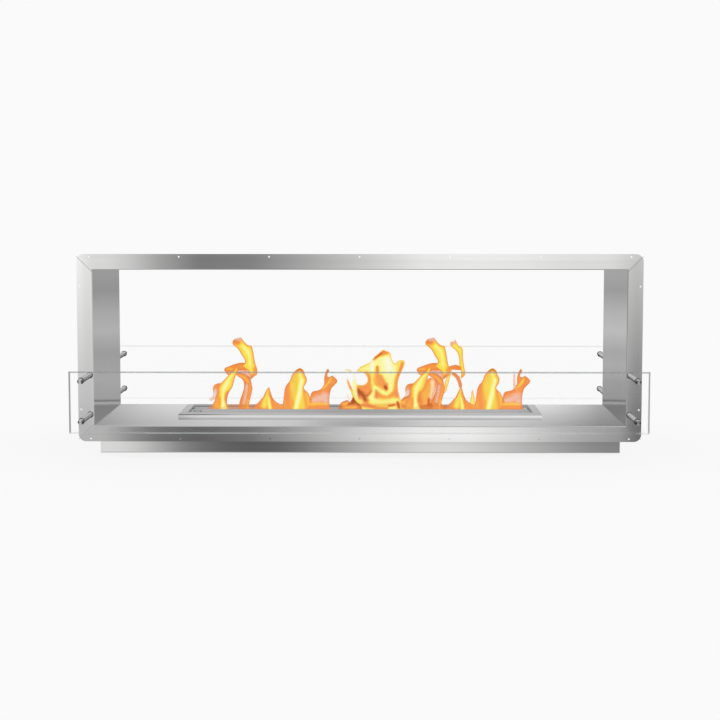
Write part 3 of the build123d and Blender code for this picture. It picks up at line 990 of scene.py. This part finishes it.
def flame(name, depth, warmth, rim, outline, cover=1.0, streaks=(), shift=0.0):
    """One closed flame inside its outline, thickest at its middle, with its glow kept in the mesh."""
    loop = smooth_loop(outline)
    border = loop + loop[:1]
    places, triangles = filled(loop)
    half = flame_half_thickness * np.sqrt(1 - nearness(places, border, flame_round))
    seam = half < 1e-3  # where the front and the back share their places

    def side(way, kept):
        """Places on the front, -1, or the back, 1."""
        middle = slot_middle - depth
        return [
            ((x + shift) * MM, (middle + way * t) * MM, z * MM)
            for (x, z), t, keep in zip(places, half, kept)
            if keep
        ]

    points = side(-1, np.full(len(places), True)) + side(1, ~seam)
    back_index = np.where(seam, np.arange(len(places)), len(places) + np.cumsum(~seam) - 1)
    faces = [tuple(triangle) for triangle in triangles]
    faces += [tuple(int(back_index[corner]) for corner in triangle[::-1]) for triangle in triangles]
    mesh = bpy.data.meshes.new(name)
    mesh.from_pydata(points, [], faces)
    kept_values = zip(("warmth", "cover"), glow_and_veil(places, border, warmth, rim, cover, streaks))
    for attribute, values in kept_values:
        both = np.concatenate([values, values[~seam]])
        mesh.attributes.new(attribute, "FLOAT", "POINT").data.foreach_set("value", both)
    mesh.shade_smooth()
    mesh.materials.append(flame_material)
    piece = bpy.data.objects.new(name, mesh)
    bpy.context.scene.collection.objects.link(piece)
    piece.visible_glossy = False
    piece.visible_diffuse = False
    piece.visible_shadow = False
    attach(piece, "fireplace")
    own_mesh(piece)


flame_material = flame_glow()
for name, shape in flame_pair.items():
    flame("flame_left_" + name, **shape)
    flame("flame_right_" + name, **shape, shift=pair_shift)
for name, shape in middle_flames.items():
    flame("flame_middle_" + name, **shape)


# Studio

backdrop_white = 0.956
shadow_lift = 0.88
floor_reach = 60.0


def studio_floor():
    """A wide pale floor that keeps the soft shadow of the fireplace."""
    mesh = bpy.data.meshes.new("studio_floor")
    corners = [(x * floor_reach, y * floor_reach, 0) for x, y in ((-1, -1), (1, -1), (1, 1), (-1, 1))]
    mesh.from_pydata(corners, [], [(0, 1, 2, 3)])
    material, shader = new_material("studio_floor")
    pale = (*grey(backdrop_white), 1)
    lit = shader.add("ShaderNodeBsdfDiffuse", None, {"Color": pale})
    plain = shader.add("ShaderNodeEmission", None, {"Color": pale, "Strength": 1.0})
    camera = shader.add("ShaderNodeLightPath", output="Is Camera Ray")
    mixed = shader.add("ShaderNodeMixShader", None, {0: camera * shadow_lift, 1: lit, 2: plain})
    shader.add("ShaderNodeOutputMaterial", None, {"Surface": mixed})
    mesh.materials.append(material)
    floor = bpy.data.objects.new("studio_floor", mesh)
    bpy.context.scene.collection.objects.link(floor)
    floor.visible_glossy = False


# Brightness of the studio in front of the fireplace, by the compass angle in degrees from straight ahead,
# growing towards +X. Dark and bright screens stand there, and the steel shows them.
front_upper_row = [
    (-9.7, 1.05), (-9.2, 0.82), (-8.8, 0.84), (-8.0, 0.70), (-7.1, 0.45), (-5.8, 0.235), (-4.1, 0.27),
    (-2.5, 0.445), (-0.6, 0.68), (1.4, 0.96), (3.0, 1.01), (4.6, 0.98), (5.9, 0.90), (7.5, 0.87),
    (8.1, 0.74), (8.5, 0.69),
]
front_lower_row = [
    (-9.5, 0.53), (-8.9, 0.54), (-8.4, 0.42), (-7.9, 0.30), (-7.1, 0.19), (-5.8, 0.145), (-4.1, 0.215),
    (-2.5, 0.44), (-0.6, 0.74), (1.4, 1.02), (3.0, 1.04), (4.6, 0.83), (5.9, 0.58), (6.9, 0.465),
    (7.9, 0.38), (8.3, 0.20),
]
front_base_row = [
    (-8.8, 0.87), (-8.4, 0.84), (-8.0, 0.76), (-7.1, 0.49), (-6.4, 0.29), (-5.8, 0.205), (-5.0, 0.15),
    (-4.1, 0.13), (-3.3, 0.15), (-2.5, 0.22), (-0.6, 0.51), (0.4, 0.67), (1.4, 0.81), (2.3, 0.83),
    (3.0, 0.78), (4.65, 0.585), (6.0, 0.425), (6.9, 0.325), (7.7, 0.285),
]
front_rim_row = [
    (-6.6, 0.52), (-6.4, 0.56), (-6.1, 0.67), (-5.8, 0.76), (-4.1, 0.80), (-2.5, 0.79), (-0.6, 0.76),
    (1.4, 0.77), (3.0, 0.81), (4.65, 0.83), (6.0, 0.80),
]
# The same behind the fireplace, by the compass angle from straight back, growing towards +X.
back_far_row = [
    (-9.2, 0.36), (-8.4, 0.52), (-7.6, 0.65), (-6.7, 0.73), (-5.0, 0.80), (0.0, 0.76), (4.4, 0.82),
    (5.5, 0.78), (6.0, 0.71), (6.7, 0.57), (7.2, 0.43), (8.4, 0.26),
]
back_near_row = [
    (-9.2, 0.34), (-8.4, 0.40), (-7.6, 0.47), (-6.8, 0.52), (-5.4, 0.60), (-4.0, 0.62), (-2.8, 0.61),
    (-1.6, 0.44), (-0.4, 0.38), (0.4, 0.46), (1.6, 0.64), (2.8, 0.68), (4.2, 0.61), (5.2, 0.50),
    (6.2, 0.39), (7.2, 0.27), (8.4, 0.24),
]
# And behind it by the angle above the horizon, here always below it, which the two inner walls show.
wall_column = [
    (-7.30, 0.235), (-6.83, 0.215), (-6.77, 0.22), (-6.74, 0.40), (-6.68, 0.40), (-6.66, 0.19),
    (-6.615, 0.19), (-6.59, 0.355), (-5.9, 0.405), (-5.1, 0.36), (-4.4, 0.47), (-3.8, 0.42),
    (-3.1, 0.315), (-2.6, 0.35),
]
column_low, column_high = -7.5, -2.4
# And to both sides, by how far a direction points sideways, 0 to 1.
side_start = (0.17, 0.45)
side_row = [(0.0, 0.6), (0.35, 0.35), (0.55, 0.70), (0.75, 0.35), (0.92, 0.75), (1.0, 0.5)]
side_left_to_right = (-0.3, 0.3)
side_share = (0.6, 1.0)
row_peak = 1.3
row_reach = 12.0

# Degrees above the horizon between which one set of screens passes into the next.
front_base_to_lower = (-8.75, -8.45)
front_rim_bottom = (-7.0, -6.6)
front_rim_top = (-4.7, -4.3)
front_lower_to_upper = (-7.4, -2.3)
front_to_sky = (-0.5, 4.0)
wall_lift_start = (-6.0, -5.5)
wall_to_far = (0.5, 3.5)
far_to_near = (6.83, 7.44)
ground_to_screens = (-26.0, -11.0)
screens_to_overhead = (12.0, 32.0)

# Compass degrees, between which the rim's own screen ends and the rear standoffs' dark one starts.
front_rim_end = (6.9, 7.6)
standoff_start = (6.4, 7.1)
standoff_shade = 0.06

wall_right_to_left = (-3.0, 3.0)
right_wall_lift = (0.95, 1.22)  # share of the column that the right wall shows, low down and higher up

sky_front_to_back = (-0.5, 0.2)  # how far back a direction points, -1 to 1
front_sky, back_sky = 0.42, 0.8
ground_shade = 0.45


def studio_world():
    """White to the camera, plain white light, and soft dark and bright screens for the steel to show."""
    world = bpy.data.worlds.new("studio")
    bpy.context.scene.world = world
    shader = Shader(world)
    direction = shader.add("ShaderNodeTexCoord", output="Generated")
    x, y, z = shader.several("ShaderNodeSeparateXYZ", "XYZ", {"Vector": direction})
    degree = 180 / math.pi
    rise = z.maths("ARCSINE", z) * degree
    ahead = x.maths("ARCTAN2", x, 0.0 - y) * degree
    behind = x.maths("ARCTAN2", x, y) * degree

    def row(angle, stops, low=-row_reach, high=row_reach):
        """Brightness along one row of screens."""
        placed = [((at - low) / (high - low), level / row_peak) for at, level in stops]
        return shader.ramp(angle.spread(low, high), placed) * row_peak

    def between(factor, low, high):
        """Low at factor 0 and high at 1."""
        return low + (high - low) * factor

    on_rim = rise.spread(*front_rim_bottom) * rise.spread(*front_rim_top, 1.0, 0.0)
    on_rim = on_rim * abs(ahead).spread(*front_rim_end, 1.0, 0.0)
    front = row(ahead, front_base_row)
    front = between(rise.spread(*front_base_to_lower), front, row(ahead, front_lower_row))
    front = between(on_rim, front, row(ahead, front_rim_row))
    above_rim = rise.spread(*front_lower_to_upper) * (1.0 - on_rim)
    front = between(above_rim, front, row(ahead, front_upper_row))
    front = between(rise.spread(*front_to_sky), front, front_sky)

    right_share = rise.spread(*wall_lift_start, *right_wall_lift)
    column = row(rise, wall_column, column_low, column_high)
    back = column * behind.spread(*wall_right_to_left, right_share, 1.0)
    back = between(abs(behind).spread(*standoff_start), standoff_shade, back)
    back = between(rise.spread(*wall_to_far), back, row(behind, back_far_row))
    back = between(rise.spread(*far_to_near), back, row(behind, back_near_row))

    screens = between(y.above(0.0), front, back)
    sides = shader.ramp(abs(x), side_row) * x.spread(*side_left_to_right, *side_share)
    screens = between(abs(x).spread(*side_start), screens, sides)
    sky = y.spread(*sky_front_to_back, front_sky, back_sky)
    screens = between(rise.spread(*screens_to_overhead), screens, sky)
    screens = between(rise.spread(*ground_to_screens), ground_shade, screens)

    rays = ("Is Camera Ray", "Is Transmission Ray", "Is Glossy Ray")
    camera, transmission, glossy = shader.several("ShaderNodeLightPath", rays)
    seen = camera.larger(transmission)
    plain = between(seen, 1.0, backdrop_white)
    level = between(glossy * (1.0 - seen), plain, screens)
    light = shader.add("ShaderNodeBackground", None, {"Color": level, "Strength": 1.0})
    shader.add("ShaderNodeOutputWorld", None, {"Surface": light})


camera_place = (0.0488, -4.9997, 0.7157)
camera_dip = 0.094  # radians below the horizon
camera_turn = 0.010
sensor_width = 36.0
lens = 88.39


def photo_camera():
    """The camera at the photograph's viewing angle."""
    camera = bpy.data.objects.new("camera", bpy.data.cameras.new("camera"))
    bpy.context.scene.collection.objects.link(camera)
    camera.location = camera_place
    camera.rotation_euler = (math.pi / 2 - camera_dip, 0.0, camera_turn)
    camera.data.sensor_width = sensor_width
    camera.data.lens = lens
    camera.data.clip_start = 0.1
    camera.data.clip_end = 200.0
    bpy.context.scene.camera = camera


studio_floor()
studio_world()
photo_camera()
bpy.context.scene.view_settings.view_transform = "Standard"
